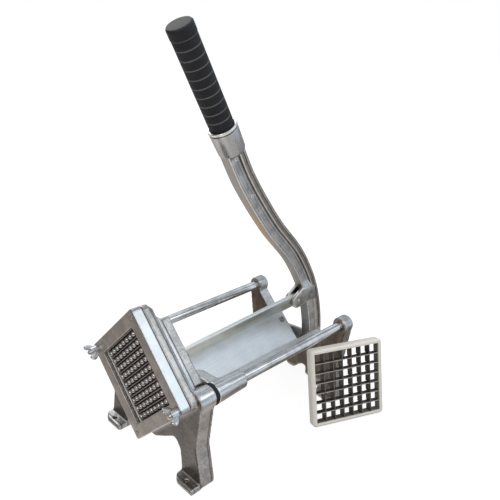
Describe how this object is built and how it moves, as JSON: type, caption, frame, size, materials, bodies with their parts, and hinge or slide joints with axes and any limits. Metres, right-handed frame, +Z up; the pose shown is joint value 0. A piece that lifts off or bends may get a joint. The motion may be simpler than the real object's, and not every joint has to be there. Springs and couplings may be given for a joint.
{
  "type": "french fry cutter",
  "caption": "Lever press that pushes potatoes through a square blade grid along guide rods, with a V trough, link bar, rubber grip and a spare blade cartridge leaning beside it.",
  "frame": {"origin": "on the bench, at the centre of the four foot screw holes", "axes": "-Y towards the cutting head, where the fries come out; +Y towards the lever pivot; +X towards the side the spare cartridge stands on; +Z up"},
  "size_m": [0.2335, 0.3317, 0.4807],
  "materials": {
    "casting": "cast, satin",
    "casting_face": "cast, ground face",
    "rod_chrome": "polished",
    "fastener_steel": "plain",
    "nut_plated": "plated",
    "sheet_steel": "brushed",
    "rubber_black": "matte",
    "cartridge_cream": "matte",
    "blade_steel": "dark, ground edge",
    "pusher_metal": "cast, bright",
    "bushing_bronze": "plain",
    "link_steel": "brushed"
  },
  "bodies": {
    "frame": {"front_casting": "casting", "rear_casting": "casting", "guide_rod_left": "rod_chrome", "guide_rod_right": "rod_chrome", "rod_end_screws": "fastener_steel", "trough": "sheet_steel", "trough_screws": "fastener_steel", "bumper_rings": "rubber_black", "locating_pins": "fastener_steel", "lever_pivot_bolt": "fastener_steel", "lever_pivot_nut": "fastener_steel"},
    "cover": {"cover_plate": "casting_face", "wing_nut_washers": "fastener_steel"},
    "nut_left": {"wing_nut_left": "nut_plated"},
    "nut_right": {"wing_nut_right": "nut_plated"},
    "cartridge": {"blade_frame": "cartridge_cream", "blades_down": "blade_steel", "blades_across": "blade_steel"},
    "pusher": {"push_block": "pusher_metal", "pusher_carriage": "casting", "sleeve_bushings": "bushing_bronze", "block_screws": "fastener_steel", "carriage_link_pins": "fastener_steel"},
    "lever": {"lever_arm": "casting", "grip_core": "fastener_steel", "rubber_grip": "rubber_black", "grip_end_cap": "rubber_black", "grip_cross_pin": "fastener_steel", "clevis_pin": "fastener_steel"},
    "link": {"link_bar": "link_steel"},
    "spare": {"spare_frame": "cartridge_cream", "spare_blades_across": "blade_steel", "spare_blades_down": "blade_steel"}
  },
  "joints": [
    {"name": "lever_pivot", "type": "hinge", "parent": "frame", "child": "lever", "pos_m": [0, 0.16805, 0.027], "axis": [-1, 0, 0], "range_deg": [0, 80]},
    {"name": "link_pivot", "type": "hinge", "parent": "lever", "child": "link", "pos_m": [0, 0.12505, 0.119], "axis": [-1, 0, 0], "range_deg": [-70.14, 0]},
    {"name": "pusher_slide", "type": "slide", "parent": "frame", "child": "pusher", "axis": [0, 1, 0], "range_m": [0, 0.12775]},
    {"name": "cover_slide", "type": "slide", "parent": "frame", "child": "cover", "axis": [0, -1, 0], "range_m": [0, 0.03]},
    {"name": "cartridge_slide", "type": "slide", "parent": "frame", "child": "cartridge", "axis": [0, -1, 0], "range_m": [0, 0.015]},
    {"name": "nut_left_turn", "type": "hinge", "parent": "cover", "child": "nut_left", "pos_m": [-0.077, -0.13795, 0.11], "axis": [0, -1, 0], "continuous": true},
    {"name": "nut_right_turn", "type": "hinge", "parent": "cover", "child": "nut_right", "pos_m": [0.077, -0.13795, 0.11], "axis": [0, -1, 0], "continuous": true},
    {"name": "spare_slide", "type": "slide", "parent": "frame", "child": "spare", "axis": [0.9212, -0.3891, 0], "range_m": [0, 0.15]}
  ],
  "couplings": [
    {"joint": "pusher_slide", "follows": "lever_pivot", "m_per_rad": 0.091492},
    {"joint": "link_pivot", "follows": "lever_pivot", "ratio": -0.87674},
    {"joint": "cartridge_slide", "follows": "cover_slide", "ratio": 0.5}
  ]
}
